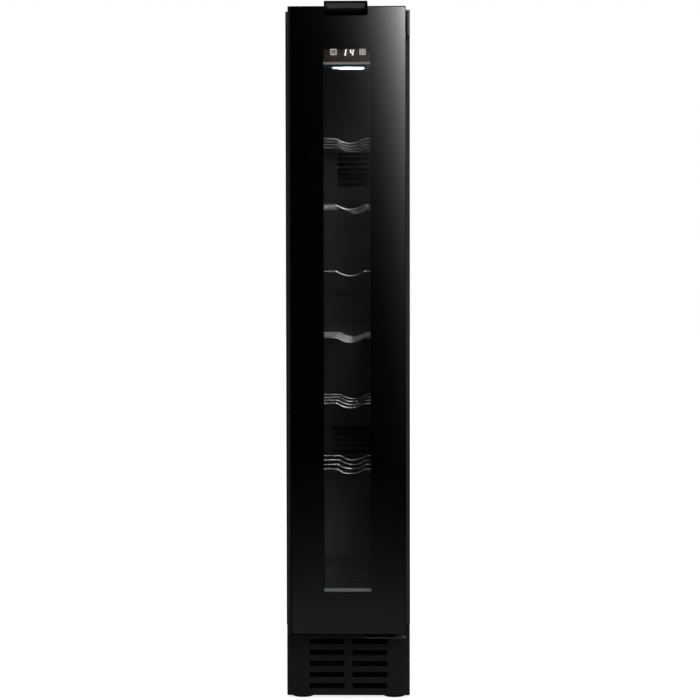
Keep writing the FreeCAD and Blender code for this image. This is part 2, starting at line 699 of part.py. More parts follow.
def door_frame():
    y0 = GLASS_Y + GLASS_T + PRINT_T
    x0, x1 = DOOR_X0, DOOR_X1 - FRAME_INSET
    lip = box(x0, x0 + LIP_W, GLASS_Y, y0 + 1, DOOR_Z0, DOOR_Z1)
    lip = round_edges(lip, 1.6, lambda e: upright(e) and e.CenterOfMass.y < y0 and e.CenterOfMass.x < x0 + 1)
    lip = lip.fuse(box(x0, x0 + LIP_W, y0, FRAME_Y1, DOOR_Z0, DOOR_Z1))
    frame = fuse([box(x0, x1, y0, FRAME_Y1, FRAME_Z0, FRAME_Z1), lip])
    cuts = [
        box(-POCKET_HALF, POCKET_HALF, y0 - 1, POCKET_Y1, POCKET_Z0, POCKET_Z1),
        box(-OPEN_HALF, OPEN_HALF, y0 - 1, FRAME_Y1 + 1, OPEN_Z0, OPEN_Z1),
        box(NOTCH_X, x1 + 1, y0 - 1, FRAME_Y1 + 1, NOTCH_Z, FRAME_Z1 + 1),
    ]
    for z0, depth in ((FRAME_Z0, 12), (NOTCH_Z - 8, 8)):
        cuts.append(cyl(BUSH_R + RUN_GAP, (HINGE_X, HINGE_Y, z0), (0, 0, 1), depth))
    return frame.cut(Part.makeCompound(cuts))


def glass_spacer():
    y0 = GLASS_Y + GLASS_T + PRINT_T
    half, z0, z1 = POCKET_HALF - GAP, POCKET_Z0 + GAP, POCKET_Z1 - GAP
    inner = (-half + SPACER_W, half - SPACER_W, z0 + SPACER_W, z1 - SPACER_W)
    return ring((-half, half, z0, z1), inner, y0, y0 + SPACER_T)


def inner_glass():
    y0 = GLASS_Y + GLASS_T + PRINT_T + SPACER_T
    half = POCKET_HALF - GAP
    return box(-half, half, y0, y0 + INNER_GLASS_T, POCKET_Z0 + GAP, POCKET_Z1 - GAP)


def door_gasket():
    """Soft seal: a narrow foot on the frame and a wider magnetic face."""
    foot_ring = ring((-59, 59, 123, 799), (-53, 53, 130.5, 792), FRAME_Y1, GASKET_Y1 - 2)
    face_ring = ring((-61, 61, 121, 801), (-51, 51, 132.5, 791), GASKET_Y1 - 4, GASKET_Y1)
    return fuse([foot_ring, face_ring])


def door_handle():
    """Tab over the door's top edge: lip in front of the glass, plate above it, foot on the frame."""
    x0, x1 = HANDLE_X - HANDLE_HALF, HANDLE_X + HANDLE_HALF
    top_z0 = DOOR_Z1 + 1
    lip = box(x0, x1, HANDLE_Y, HANDLE_Y + HANDLE_T, HANDLE_Z0, HANDLE_Z1)
    lip = round_edges(lip, 2.5, lambda e: along_y(e) and e.CenterOfMass.z < HANDLE_Z0 + 1)
    parts = [
        lip,
        box(x0, x1, HANDLE_Y, -235, top_z0, HANDLE_Z1),
        box(x0, x1, -247, -235, FRAME_Z1, HANDLE_Z1),
    ]
    tab = fuse(parts)

    def outline(edge):
        along_x = abs(edge.Vertexes[0].Point.x - edge.Vertexes[-1].Point.x) > 1
        p = edge.CenterOfMass
        return along_x and (abs(p.y - HANDLE_Y) < 1e-6 or abs(p.z - HANDLE_Z1) < 1e-6)

    return tab.makeChamfer(0.8, [e for e in tab.Edges if outline(e)])


# ---------------------------------------------------------------- build

NODES = {
    "side_panel_left": side_panel(-1),
    "side_panel_right": side_panel(1),
    "top_panel": top_panel(),
    "rear_panel": rear_panel(),
    "bottom_panel": bottom_panel(),
    "front_frame": front_frame(),
    "insulation_foam": insulation_foam(),
    "inner_liner": inner_liner(),
    "duct_cover": duct_cover(),
    "evaporator": evaporator(),
    "evaporator_fan_frame": fan_frame(EVAP_FAN_C, 30, 18, 27),
    "evaporator_impeller": impeller(EVAP_FAN_C, 25.5, 10),
    "temperature_sensor": temperature_sensor(),
    "control_box": control_box(),
    "control_lens": control_lens(),
    "control_board": control_board(),
    "display_digits": display_digits(),
    "touch_keys": touch_keys(),
    "panel_trim": panel_trim(),
    "lamp_board": lamp_board(),
    "lamp_cover": lamp_cover(),
    "base_tray": base_tray(),
    "front_grille": front_grille(),
    "compressor": compressor(),
    "compressor_grommets": compressor_grommets(),
    "compressor_bolts": compressor_bolts(),
    "relay_cover": relay_cover(),
    "drain_pan": drain_pan(),
    "drain_tube": drain_tube(),
    "condenser": condenser(),
    "condenser_fan_frame": fan_frame(COND_FAN_C, 34, 25, 30.5),
    "condenser_impeller": impeller(COND_FAN_C, 29, 14),
    "filter_drier": filter_drier(),
    "discharge_tube": discharge_tube(),
    "suction_tube": suction_tube(),
    "capillary_tube": capillary_tube(),
    "rear_cover": rear_cover(),
    "power_inlet": power_inlet(),
    "top_hinge_bracket": top_hinge_bracket(),
    "lower_hinge_bracket": lower_hinge_bracket(),
    "hinge_screws": hinge_screws(),
    "top_hinge_cover": top_hinge_cover(),
    "hinge_bushes": hinge_bushes(),
    "door_glass": door_glass(),
    "glass_print": glass_print(),
    "door_frame": door_frame(),
    "glass_spacer": glass_spacer(),
    "inner_glass": inner_glass(),
    "door_gasket": door_gasket(),
    "door_handle": door_handle(),
}
for index in range(RACK_COUNT):
    NODES["rack_%d" % (index + 1)] = rack(index)
for name, x, y in foot_spots():
    NODES[name] = foot(x, y)

os.makedirs("parts", exist_ok=True)
for name, shape in NODES.items():
    shape.exportStep("parts/%s.step" % name)
    print(name, shape.isValid(), len(shape.Solids), round(shape.Volume, 1))
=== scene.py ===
import json
import math

import bmesh
import bpy
from mathutils import Matrix, Quaternion, Vector


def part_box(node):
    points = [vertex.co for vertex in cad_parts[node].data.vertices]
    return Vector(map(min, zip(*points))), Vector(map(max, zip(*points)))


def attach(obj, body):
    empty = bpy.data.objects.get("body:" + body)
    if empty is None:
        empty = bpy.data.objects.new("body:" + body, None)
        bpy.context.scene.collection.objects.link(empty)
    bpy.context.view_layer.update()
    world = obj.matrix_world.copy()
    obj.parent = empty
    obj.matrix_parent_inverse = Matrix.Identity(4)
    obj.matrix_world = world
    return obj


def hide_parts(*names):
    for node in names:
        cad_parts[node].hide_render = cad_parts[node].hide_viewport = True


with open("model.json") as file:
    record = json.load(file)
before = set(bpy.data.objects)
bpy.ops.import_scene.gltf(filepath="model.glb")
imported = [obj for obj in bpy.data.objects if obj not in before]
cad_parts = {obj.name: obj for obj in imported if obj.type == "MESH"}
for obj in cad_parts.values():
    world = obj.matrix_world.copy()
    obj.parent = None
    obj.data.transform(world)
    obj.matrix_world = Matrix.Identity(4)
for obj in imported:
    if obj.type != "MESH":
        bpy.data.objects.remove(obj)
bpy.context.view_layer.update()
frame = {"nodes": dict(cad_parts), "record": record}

NODES = frame["nodes"]
BODIES = frame["record"]["behaviour"]["bodies"]
BODY_OF = {node: body for body, members in BODIES.items() for node in members}
SLOT_OF = {p["node"]: p["material_slot"] for p in frame["record"]["subparts"]}
RACKS = sorted(n for n in NODES if n.startswith("rack_"))
FEET = sorted(n for n in NODES if n.startswith("foot_"))


# ---------------------------------------------------------------- materials

class Shader:
    """A node material under construction, patterned by the object's own coordinates in metres."""

    def __init__(self, name):
        self.material = bpy.data.materials.new(name)
        self.material.use_nodes = True
        self.tree = self.material.node_tree
        self.bsdf = self.tree.nodes["Principled BSDF"]
        self.output = self.tree.nodes["Material Output"]
        self.coords = self.tree.nodes.new("ShaderNodeTexCoord").outputs["Object"]

    def node(self, kind, **settings):
        made = self.tree.nodes.new(kind)
        for key, value in settings.items():
            setattr(made, key, value)
        return made

    def link(self, a, b):
        self.tree.links.new(a, b)

    def stretched(self, stretch):
        mapping = self.node("ShaderNodeMapping")
        mapping.inputs["Scale"].default_value = stretch
        self.link(self.coords, mapping.inputs["Vector"])
        return mapping.outputs["Vector"]

    def noise(self, scale, detail=2.0, stretch=(1, 1, 1)):
        made = self.node("ShaderNodeTexNoise")
        made.inputs["Scale"].default_value = scale
        made.inputs["Detail"].default_value = detail
        self.link(self.stretched(stretch), made.inputs["Vector"])
        return made.outputs["Fac"]

    def cells(self, scale):
        made = self.node("ShaderNodeTexVoronoi")
        made.inputs["Scale"].default_value = scale
        self.link(self.coords, made.inputs["Vector"])
        return made.outputs["Color"]

    def spread(self, value, low, high, start=0.3, end=0.7):
        made = self.node("ShaderNodeMapRange")
        for socket, number in zip(("From Min", "From Max", "To Min", "To Max"), (start, end, low, high)):
            made.inputs[socket].default_value = number
        self.link(value, made.inputs["Value"])
        return made.outputs["Result"]

    def blend(self, value, first, second):
        made = self.node("ShaderNodeMix", data_type="RGBA")
        made.inputs["A"].default_value = (*first, 1)
        made.inputs["B"].default_value = (*second, 1)
        self.link(value, made.inputs["Factor"])
        return made.outputs["Result"]

    def bump(self, value, height):
        made = self.node("ShaderNodeBump")
        made.inputs["Distance"].default_value = height
        self.link(value, made.inputs["Height"])
        self.link(made.outputs["Normal"], self.bsdf.inputs["Normal"])


def tinted(colour, factor):
    """The colour made darker or lighter, held at 1."""
    return tuple(min(1.0, c * factor) for c in colour)


def surface(name, colour, rough, metallic=0.0, specular=0.5, coat=0.0, mottle=0.12, mottle_scale=14.0,
            rough_spread=0.06, grain=900.0, depth=0.00002, stretch=(1, 1, 1)):
    """Opaque finish: mottled colour, uneven gloss and a fine surface grain."""
    s = Shader(name)
    s.bsdf.inputs["Metallic"].default_value = metallic
    s.bsdf.inputs["Specular IOR Level"].default_value = specular
    s.bsdf.inputs["Coat Weight"].default_value = coat
    s.bsdf.inputs["Coat Roughness"].default_value = 0.08
    broad = s.noise(mottle_scale, 4.0, stretch)
    s.link(s.blend(s.spread(broad, 0, 1), tinted(colour, 1 - mottle), tinted(colour, 1 + mottle)),
           s.bsdf.inputs["Base Color"])
    gloss = s.noise(mottle_scale * 3, 3.0, stretch)
    smoothest, roughest = max(0.02, rough - rough_spread), rough + rough_spread
    s.link(s.spread(gloss, smoothest, roughest), s.bsdf.inputs["Roughness"])
    s.bump(s.noise(grain, 3.0, stretch), depth)
    return s.material


def galvanised():
    """Zinc-coated sheet: crystal spangles that differ a little in brightness and gloss."""
    s = Shader("galvanised_steel")
    s.bsdf.inputs["Metallic"].default_value = 0.85
    spangle = s.node("ShaderNodeSeparateColor")
    s.link(s.cells(190.0), spangle.inputs["Color"])
    dull, bright = (0.35, 0.36, 0.37), (0.42, 0.43, 0.445)
    s.link(s.blend(spangle.outputs["Red"], dull, bright), s.bsdf.inputs["Base Color"])
    s.link(s.spread(spangle.outputs["Green"], 0.38, 0.48, 0, 1), s.bsdf.inputs["Roughness"])
    s.bump(s.noise(500.0), 0.00001)
    return s.material


def lit(name, colour, strength, scale):
    """Self-lit plastic, a little uneven like light behind a diffuser."""
    s = Shader(name)
    s.bsdf.inputs["Roughness"].default_value = 0.35
    uneven = s.spread(s.noise(scale, 2.0), 0, 1)
    s.link(s.blend(uneven, tinted(colour, 0.86), colour), s.bsdf.inputs["Emission Color"])
    s.link(s.blend(uneven, tinted(colour, 0.7), tinted(colour, 0.8)), s.bsdf.inputs["Base Color"])
    s.bsdf.inputs["Emission Strength"].default_value = strength
    s.bump(s.noise(1500.0), 0.00001)
    return s.material


def strip_lamp(name, core, rim, strength):
    """Frosted strip lamp: brightest at its middle, fading to a cooler rim at its edges and ends."""
    low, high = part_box("lamp_cover")
    middle, half = (low + high) / 2, (high - low) / 2
    s = Shader(name)
    s.bsdf.inputs["Roughness"].default_value = 0.35
    offset = s.node("ShaderNodeVectorMath", operation="SUBTRACT")
    s.link(s.coords, offset.inputs[0])
    offset.inputs[1].default_value = middle
    size = s.node("ShaderNodeVectorMath", operation="ABSOLUTE")
    s.link(offset.outputs["Vector"], size.inputs[0])
    away = s.node("ShaderNodeSeparateXYZ")
    s.link(size.outputs["Vector"], away.inputs["Vector"])
    level = s.spread(away.outputs["Z"], 1.0, LAMP_RIM, half.z * 0.15, half.z * 0.85)
    for value in (s.spread(away.outputs["X"], 1.0, LAMP_RIM, half.x * 0.85, half.x),
                  s.spread(away.outputs["X"], LAMP_HOT, 1.0, 0.0, half.x * 0.3),
                  s.spread(s.noise(120, 2.0), strength * 0.95, strength)):
        product = s.node("ShaderNodeMath", operation="MULTIPLY")
        s.link(level, product.inputs[0])
        s.link(value, product.inputs[1])
        level = product.outputs[0]
    s.link(level, s.bsdf.inputs["Emission Strength"])
    edge = s.spread(away.outputs["Z"], 0, 1, half.z * 0.2, half.z * 0.9)
    s.link(s.blend(edge, core, rim), s.bsdf.inputs["Emission Color"])
    s.link(s.blend(edge, tinted(core, 0.8), tinted(core, 0.7)), s.bsdf.inputs["Base Color"])
    s.bump(s.noise(1500.0), 0.00001)
    return s.material


def see_through(name, tint, ior, gloss_rough, haze=0.0, haze_colour=(0, 0, 0)):
    """Thin clear pane: straight-through light, Fresnel reflections, a faint film and a little haze."""
    s = Shader(name)
    s.tree.nodes.remove(s.bsdf)
    clear = s.node("ShaderNodeBsdfTransparent")
    film = s.spread(s.noise(9.0, 4.0), 0, 1)
    s.link(s.blend(film, tint, tinted(tint, 0.98)), clear.inputs["Color"])
    body = s.node("ShaderNodeBsdfDiffuse")
    s.link(s.blend(film, haze_colour, tinted(haze_colour, 0.8)), body.inputs["Color"])
    through = s.node("ShaderNodeMixShader")
    through.inputs["Fac"].default_value = haze
    s.link(clear.outputs["BSDF"], through.inputs[1])
    s.link(body.outputs["BSDF"], through.inputs[2])
    shine = s.node("ShaderNodeBsdfGlossy")
    shine.inputs["Color"].default_value = (1, 1, 1, 1)
    s.link(s.spread(s.noise(25.0, 4.0), gloss_rough, gloss_rough * 1.6), shine.inputs["Roughness"])
    edge = s.node("ShaderNodeFresnel")
    edge.inputs["IOR"].default_value = ior
    mix = s.node("ShaderNodeMixShader")
    s.link(edge.outputs["Fac"], mix.inputs["Fac"])
    s.link(through.outputs["Shader"], mix.inputs[1])
    s.link(shine.outputs["BSDF"], mix.inputs[2])
    s.link(mix.outputs["Shader"], s.output.inputs["Surface"])
    return s.material


BLACK = (0.0041, 0.0041, 0.0043)
LAMP_RIM, LAMP_HOT = 0.10, 3.0    # strength at the lamp's rim and at its middle, against the rest
MATERIALS = {
    "black_steel": surface("black_steel", (0.011, 0.011, 0.0115), 0.5, specular=0.12, mottle=0.04,
                           rough_spread=0.015, grain=420, depth=0.00006),
    "galvanised_steel": galvanised(),
    "zinc_steel": surface("zinc_steel", (0.075, 0.075, 0.078), 0.24, 1.0, mottle=0.1, stretch=(1, 14, 14),
                          grain=500, depth=0.00002),
    "foam": surface("foam", (0.62, 0.5, 0.24), 0.9, mottle=0.2, grain=300, depth=0.0005),
    "liner_plastic": surface("liner_plastic", (0.013, 0.0137, 0.015), 0.38, grain=1200, depth=0.00003),
    "fin_aluminium": surface("fin_aluminium", (0.62, 0.63, 0.65), 0.35, 1.0, stretch=(6, 1, 1)),
    "black_plastic": surface("black_plastic", (0.008, 0.008, 0.009), 0.48, specular=0.35, grain=1600,
                             depth=0.00004),
    "grille_plastic": surface("grille_plastic", BLACK, 0.6, specular=0.05, grain=1600, depth=0.00004),
    "white_plastic": surface("white_plastic", (0.66, 0.66, 0.63), 0.45, mottle=0.05),
    "smoked_lens": see_through("smoked_lens", (0.90, 0.87, 0.88), 1.2, 0.06, 0.34, (0.62, 0.34, 0.31)),
    "circuit_board": surface("circuit_board", (0.012, 0.09, 0.04), 0.4, mottle=0.3, mottle_scale=260),
    "display_light": lit("display_light", (0.90, 0.94, 1.0), 5.5, 300),
    "key_light": lit("key_light", (0.93, 0.95, 0.95), 2.4, 300),
    "lamp_light": strip_lamp("lamp_light", (0.84, 0.97, 1.0), (0.34, 0.68, 0.84), 1.6),
    "silver_trim": surface("silver_trim", (0.93, 0.88, 0.84), 0.38, 0.0, mottle=0.06, stretch=(1, 20, 20)),
    "compressor_paint": surface("compressor_paint", (0.006, 0.006, 0.006), 0.25, coat=0.4, grain=220,
                                depth=0.0001),
    "rubber": surface("rubber", (0.02, 0.02, 0.02), 0.75, grain=900, depth=0.0001),
    "copper": surface("copper", (0.72, 0.36, 0.22), 0.3, 1.0, mottle=0.25, mottle_scale=60),
    "door_glass": see_through("door_glass", (0.975, 0.978, 0.978), 1.12, 0.02),
    "black_print": surface("black_print", (0.0009, 0.0009, 0.0009), 0.026, specular=0.84, mottle=0.3,
                           rough_spread=0.004, grain=2500, depth=0.0000001),
    "door_plastic": surface("door_plastic", (0.0022, 0.0022, 0.0024), 0.5, specular=0.08, grain=1400,
                            depth=0.00003),
    "spacer_aluminium": surface("spacer_aluminium", (0.03, 0.03, 0.032), 0.4, 1.0),
    "inner_glass": see_through("inner_glass", (0.975, 0.978, 0.978), 1.5, 0.02),
    "gasket": surface("gasket", (0.48, 0.49, 0.48), 0.6, mottle=0.06, grain=800, depth=0.00005),
    "handle_gloss": surface("handle_gloss", (0.0012, 0.0012, 0.0012), 0.4, specular=0.01, mottle=0.2,
                            grain=500),
    "rack_chrome": surface("rack_chrome", (0.74, 0.73, 0.71), 0.2, 1.0, mottle=0.12, mottle_scale=40),
    "foot_plastic": surface("foot_plastic", (0.0015, 0.0015, 0.0015), 0.6, specular=0.05, grain=1500,
                            depth=0.00004),
}
# Two finishes inside a slot: the blackened rim of the door's pane and the inlay of its handle, whose lighter
# grey is partly its satin tone and partly a painted sheen.
EDGE_BLACK = surface("edge_black", (0.0009, 0.0009, 0.0009), 0.9, specular=0.0, mottle=0.3, grain=2500,
                     depth=0.000005)
# Painted sheen: the inlay's lighter grey stands partly for the reflection on the black handle's front.
INLAY_PAINTED_SHEEN = surface("handle_inlay_painted_sheen", (0.0128, 0.0128, 0.0128), 0.55, specular=0.1, mottle=0.2, mottle_scale=60,
                grain=1200)


def dress(piece, slot):
    """Gives a piece the one material of its slot."""
    piece.data.materials.clear()
    piece.data.materials.append(MATERIALS[slot])


# ---------------------------------------------------------------- mesh helpers

def smooth(mesh, angle=35):
    """Smooth shading, with edges sharper than the angle left crisp."""
    for polygon in mesh.polygons:
        polygon.use_smooth = True
    mesh.set_sharp_from_angle(angle=math.radians(angle))


def piece_from(bm, name, body, slot, replaced=()):
    """Turns a bmesh in the frame's coordinates into a piece that rides on a body."""
    bmesh.ops.recalc_face_normals(bm, faces=bm.faces)
    mesh = bpy.data.meshes.new(name)
    bm.to_mesh(mesh)
    bm.free()
    smooth(mesh)
    piece = bpy.data.objects.new(name, mesh)
    bpy.context.scene.collection.objects.link(piece)
    dress(piece, slot)
    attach(piece, body)
    for node in replaced:
        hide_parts(node)
    return piece


def welded_copy(node):
    """The node's own mesh as a bmesh, its split corners welded and its flat faces made whole."""
    bm = bmesh.new()
    bm.from_mesh(NODES[node].data)
    bmesh.ops.remove_doubles(bm, verts=bm.verts, dist=1e-6)
    bmesh.ops.dissolve_limit(bm, angle_limit=math.radians(0.5), verts=bm.verts, edges=bm.edges)
    return bm


def softened(node, width):
    """The node's shape with its edges rounded, as a moulding or a folded sheet has them."""
    piece = piece_from(welded_copy(node), node + "_shell", BODY_OF[node], SLOT_OF[node], (node,))
    round_corners(piece, width)


def round_corners(piece, width):
    """Bevels the sharp edges of a piece."""
    bevel = piece.modifiers.new("edges", "BEVEL")
    bevel.width = width
    bevel.segments = 2
    bevel.limit_method = "ANGLE"
    bevel.angle_limit = math.radians(40)
    bevel.harden_normals = True


def fluted_lathe(bm, profile, centre, steps, flutes, flute_depth):
    """Closed turned form about a vertical axis with flutes round it; profile is (radius, z), axis to axis."""
    rings = []
    for radius, z in profile:
        if radius < 1e-7:
            rings.append([bm.verts.new((centre[0], centre[1], z))])
            continue
        ring = []
        for k in range(steps):
            a = 2 * math.pi * k / steps
            r = radius - flute_depth * (0.5 + 0.5 * math.cos(flutes * a))
            ring.append(bm.verts.new((centre[0] + r * math.cos(a), centre[1] + r * math.sin(a), z)))
        rings.append(ring)
    for low, high in zip(rings, rings[1:]):
        for k in range(steps):
            n = (k + 1) % steps
            corners = [low[k % len(low)], low[n % len(low)], high[n % len(high)], high[k % len(high)]]
            face = [v for i, v in enumerate(corners) if v not in corners[:i]]
            if len(face) > 2:
                bm.faces.new(face)


def threaded_stud(bm, centre, z0, z1, radius, pitch, depth, steps=24, per_turn=8):
    """Closed stud with a real helical thread."""
    count = int((z1 - z0) / pitch * per_turn)
    rings = []
    for i in range(count + 1):
        z = z0 + (z1 - z0) * i / count
        ring = []
        for k in range(steps):
            a = 2 * math.pi * k / steps
            phase = ((z - z0) / pitch - k / steps) % 1.0
            r = radius - depth * abs(2 * phase - 1)
            ring.append(bm.verts.new((centre[0] + r * math.cos(a), centre[1] + r * math.sin(a), z)))
        rings.append(ring)
    capped_skin(bm, rings)


def capped_skin(bm, rings):
    """Walls between each ring of points and the next, with a cap on the first and the last."""
    for low, high in zip(rings, rings[1:]):
        for k in range(len(low)):
            n = (k + 1) % len(low)
            bm.faces.new((low[k], low[n], high[n], high[k]))
    bm.faces.new(rings[0][::-1])
    bm.faces.new(rings[-1])


def closed_skin(bm, loops):
    """Walls between each loop of points and the next, and from the last back to the first."""
    for a, b in zip(loops, loops[1:] + loops[:1]):
        for k in range(len(a)):
            n = (k + 1) % len(a)
            bm.faces.new((a[k], a[n], b[n], b[k]))


def swept_ring(bm, profile, x0, x1, z0, z1):
    """Sweeps a closed profile of (outward offset, y) round an XZ rectangle, with mitred corners."""
    loops = []
    for sx, sz in ((-1, -1), (1, -1), (1, 1), (-1, 1)):
        corner_x, corner_z = (x0, x1)[sx > 0], (z0, z1)[sz > 0]
        loops.append([bm.verts.new((corner_x + sx * out, y, corner_z + sz * out)) for out, y in profile])
    closed_skin(bm, loops)


def outlined_ring(bm, sections):
    """Ring whose cross-section runs through (outline, y) in order and back to the first."""
    closed_skin(bm, [[bm.verts.new((x, y, z)) for x, z in outline] for outline, y in sections])


def rounded_outline(x0, x1, z0, z1, radius=0.0020, steps=6):
    """Rectangle in the XZ plane whose right-hand corners are round."""
    line = [(x0, z1), (x0, z0)]
    for cz, start in ((z0 + radius, -90), (z1 - radius, 0)):
        for k in range(steps + 1):
            a = math.radians(start + 90 * k / steps)
            line.append((x1 - radius + radius * math.cos(a), cz + radius * math.sin(a)))
    return line


def block(bm, low, high):
    """Box between two opposite corners."""
    made = bmesh.ops.create_cube(bm, size=1.0)["verts"]
    size = [h - l for l, h in zip(low, high)]
    centre = [(h + l) / 2 for l, h in zip(low, high)]
    bmesh.ops.scale(bm, vec=size, verts=made)
    bmesh.ops.translate(bm, vec=centre, verts=made)


def screw_head(bm, spot, normal, height, radius=0.0035):
    """Pan head with a crossed recess, standing on a surface."""
    steps, levels = 28, ((1.0, 0.0), (1.0, 0.35), (0.9, 0.7), (0.66, 0.92), (0.4, 1.0))
    turn = Vector((0, 0, 1)).rotation_difference(Vector(normal)).to_matrix().to_4x4()
    place = Matrix.Translation(spot) @ turn
    rings = []
    for share, rise in levels:
        rings.append([bm.verts.new(place @ Vector((radius * share * math.cos(2 * math.pi * k / steps),
                                                   radius * share * math.sin(2 * math.pi * k / steps),
                                                   height * rise))) for k in range(steps)])
    # The recess: points near an axis lie out at the arms' ends, the others close to the middle.
    arm, reach = 0.16 * radius, 0.62 * radius
    cross = []
    for k in range(steps):
        a = 2 * math.pi * k / steps
        along = min(abs(math.sin(a)), abs(math.cos(a)))
        r = reach * 0.55 if along * reach < arm * 1.6 else arm * 1.5
        cross.append((r * math.cos(a), r * math.sin(a)))
    for level in (1.0, 0.35):
        rings.append([bm.verts.new(place @ Vector((x, y, height * level))) for x, y in cross])
    capped_skin(bm, rings)


# ---------------------------------------------------------------- pieces

# How wide each node's edges are rounded.
EDGES = {
    "top_panel": 0.0003, "front_frame": 0.0001,
    "rear_panel": 0.0003, "front_grille": 0.0006, "base_tray": 0.0003, "rear_cover": 0.0003,
    "top_hinge_cover": 0.0005, "door_frame": 0.0006, "control_box": 0.0006, "control_lens": 0.0004,
    "panel_trim": 0.0006, "duct_cover": 0.0005, "inner_liner": 0.0005, "lower_hinge_bracket": 0.0004,
    "top_hinge_bracket": 0.0004, "power_inlet": 0.0005, "relay_cover": 0.0015, "drain_pan": 0.0005,
    "evaporator_fan_frame": 0.0005, "condenser_fan_frame": 0.0005, "temperature_sensor": 0.0004,
    "hinge_screws": 0.0003, "bottom_panel": 0.0003, "lamp_board": 0.0002, "lamp_cover": 0.0004,
}


def soften_mouldings():
    """Copies of the moulded and folded nodes with their edges rounded; the widths stand in EDGES."""
    for node, width in EDGES.items():
        softened(node, width)


GROUND_EDGE, PANE_CHAMFER = 0.0008, 0.0007
# Too thin to see: the gap behind the pane, the rim's skin, and the play between rim and enamel.
PRINT_GAP, RIM_SKIN, RIM_PLAY = 0.00006, 0.00005, 0.00001
SAME_SPOT = 1e-5


def door_print():
    """Glossy enamel a hair behind the glass, within a matt blackened rim on the pane's ground edges."""
    low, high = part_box("door_glass")
    print_low, print_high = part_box("glass_print")
    bm = welded_copy("glass_print")
    for v in bm.verts:
        v.co.y += PRINT_GAP
        for k in (0, 2):
            if abs(v.co[k] - print_low[k]) < SAME_SPOT:
                v.co[k] = low[k] + GROUND_EDGE
            elif abs(v.co[k] - print_high[k]) < SAME_SPOT:
                v.co[k] = high[k] - GROUND_EDGE
    edge, skin, enamel = (rounded_outline(low.x + inset, high.x - inset, low.z + inset, high.z - inset)
                          for inset in (0, RIM_SKIN, GROUND_EDGE - RIM_PLAY))
    front, middle = low.y + PANE_CHAMFER, high.y + PRINT_GAP
    back = middle + print_high.y - print_low.y
    outlined_ring(bm, ((edge, front), (edge, high.y), (skin, high.y), (skin, front)))
    outlined_ring(bm, ((skin, middle), (skin, back), (enamel, back), (enamel, middle)))
    window_print = piece_from(bm, "window_print", "door", "black_print", ("glass_print",))
    window_print.data.materials.append(EDGE_BLACK)
    for polygon in window_print.data.polygons:
        x, _, z = polygon.center
        inset = min(x - low.x, high.x - x, z - low.z, high.z - z)
        polygon.material_index = int(inset < GROUND_EDGE or polygon.normal.y > -0.99)


SEAL_HALF, SEAL_BULGE = 0.0041, 0.0006
SEAL_BOTTOM_INSET = 0.0062


def gasket():
    """Soft door seal: a barbed foot, a folding bellows and the magnetic face."""
    low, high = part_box("door_gasket")
    base, face = low.y, high.y
    side = [
        (0.0022, base), (0.0026, base + 0.0012), (0.0040, base + 0.0022), (0.0030, base + 0.0032),
        (SEAL_HALF, face - 0.0028), (SEAL_HALF + SEAL_BULGE, face - 0.0012), (SEAL_HALF, face),
    ]
    profile = side + [(-out, y) for out, y in reversed(side)]
    inset = SEAL_HALF + SEAL_BULGE
    bm = bmesh.new()
    swept_ring(bm, profile, low.x + inset, high.x - inset, low.z + SEAL_BOTTOM_INSET, high.z - inset)
    piece_from(bm, "door_seal", "door", "gasket", ("door_gasket",))


HANDLE_RIM, HANDLE_FOOT_RIM, HANDLE_RECESS = 0.0018, 0.0008, 0.0005
INLAY_THICK, INLAY_PLAY, INLAY_CORNER = 0.0004, 0.0001, 0.0018


def handle():
    """Black tab whose front is recessed within a narrow rim, wider along the bottom, with a satin inlay lying
    in the recess; the inlay's lighter grey is partly its own tone and partly a painted sheen.
    """
    low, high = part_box("door_handle")
    bm = welded_copy("door_handle")
    front = [f for f in bm.faces if f.normal.y < -0.99 and abs(f.calc_center_median().y - low.y) < SAME_SPOT]
    bmesh.ops.inset_region(bm, faces=front, thickness=HANDLE_RIM, use_even_offset=True)
    corners = {v for f in front for v in f.verts}
    bottom = min(v.co.z for v in corners)
    for v in corners:
        v.co.y += HANDLE_RECESS
        if v.co.z < bottom + HANDLE_RIM:
            v.co.z += HANDLE_FOOT_RIM
    panel_low = [min(v.co[k] for v in corners) for k in range(3)]
    panel_high = [max(v.co[k] for v in corners) for k in range(3)]
    shell = piece_from(bm, "door_handle_shell", "door", "handle_gloss", ("door_handle",))
    round_corners(shell, 0.0004)
    bm = bmesh.new()
    recess_y = panel_low[1]
    block(bm, (panel_low[0] + INLAY_PLAY, recess_y - INLAY_THICK, panel_low[2] + INLAY_PLAY),
          (panel_high[0] - INLAY_PLAY, recess_y + INLAY_THICK, panel_high[2] - INLAY_PLAY))
    middle = (panel_low[2] + panel_high[2]) / 2
    lower_corners = [e for e in bm.edges if abs(e.verts[0].co.y - e.verts[1].co.y) > INLAY_THICK
                     and e.verts[0].co.z < middle]
    bmesh.ops.bevel(bm, geom=lower_corners, offset=INLAY_CORNER, segments=5, affect="EDGES")
    inlay = piece_from(bm, "handle_inlay", "door", "handle_gloss")
    # The inlay's lighter grey is partly a painted sheen.
    inlay.data.materials.clear()
    inlay.data.materials.append(INLAY_PAINTED_SHEEN)


FOOT_PAD = 0.0023
FLUTES, FLUTE_DEPTH = 24, 0.0004
STUD_R, STUD_PITCH, THREAD_DEPTH = 0.00395, 0.00125, 0.0006


def feet():
    """Levelling foot: fluted glide under the base and a threaded stud."""
    for node in FEET:
        low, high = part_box(node)
        centre = ((low.x + high.x) / 2, (low.y + high.y) / 2)
        pad_r = (high.x - low.x) / 2
        bm = bmesh.new()
        glide = [(0, 0.0), (pad_r - 0.0012, 0.0), (pad_r - 0.0006, 0.0002), (pad_r - 0.0001, 0.0008),
                 (pad_r, 0.0012), (pad_r, 0.0019), (pad_r - 0.0004, FOOT_PAD), (0, FOOT_PAD)]
        fluted_lathe(bm, glide, centre, 3 * FLUTES, FLUTES, FLUTE_DEPTH)
        threaded_stud(bm, centre, FOOT_PAD - 0.0002, high.z, STUD_R, STUD_PITCH, THREAD_DEPTH)
        piece_from(bm, node + "_levelling", node, SLOT_OF[node], (node,))


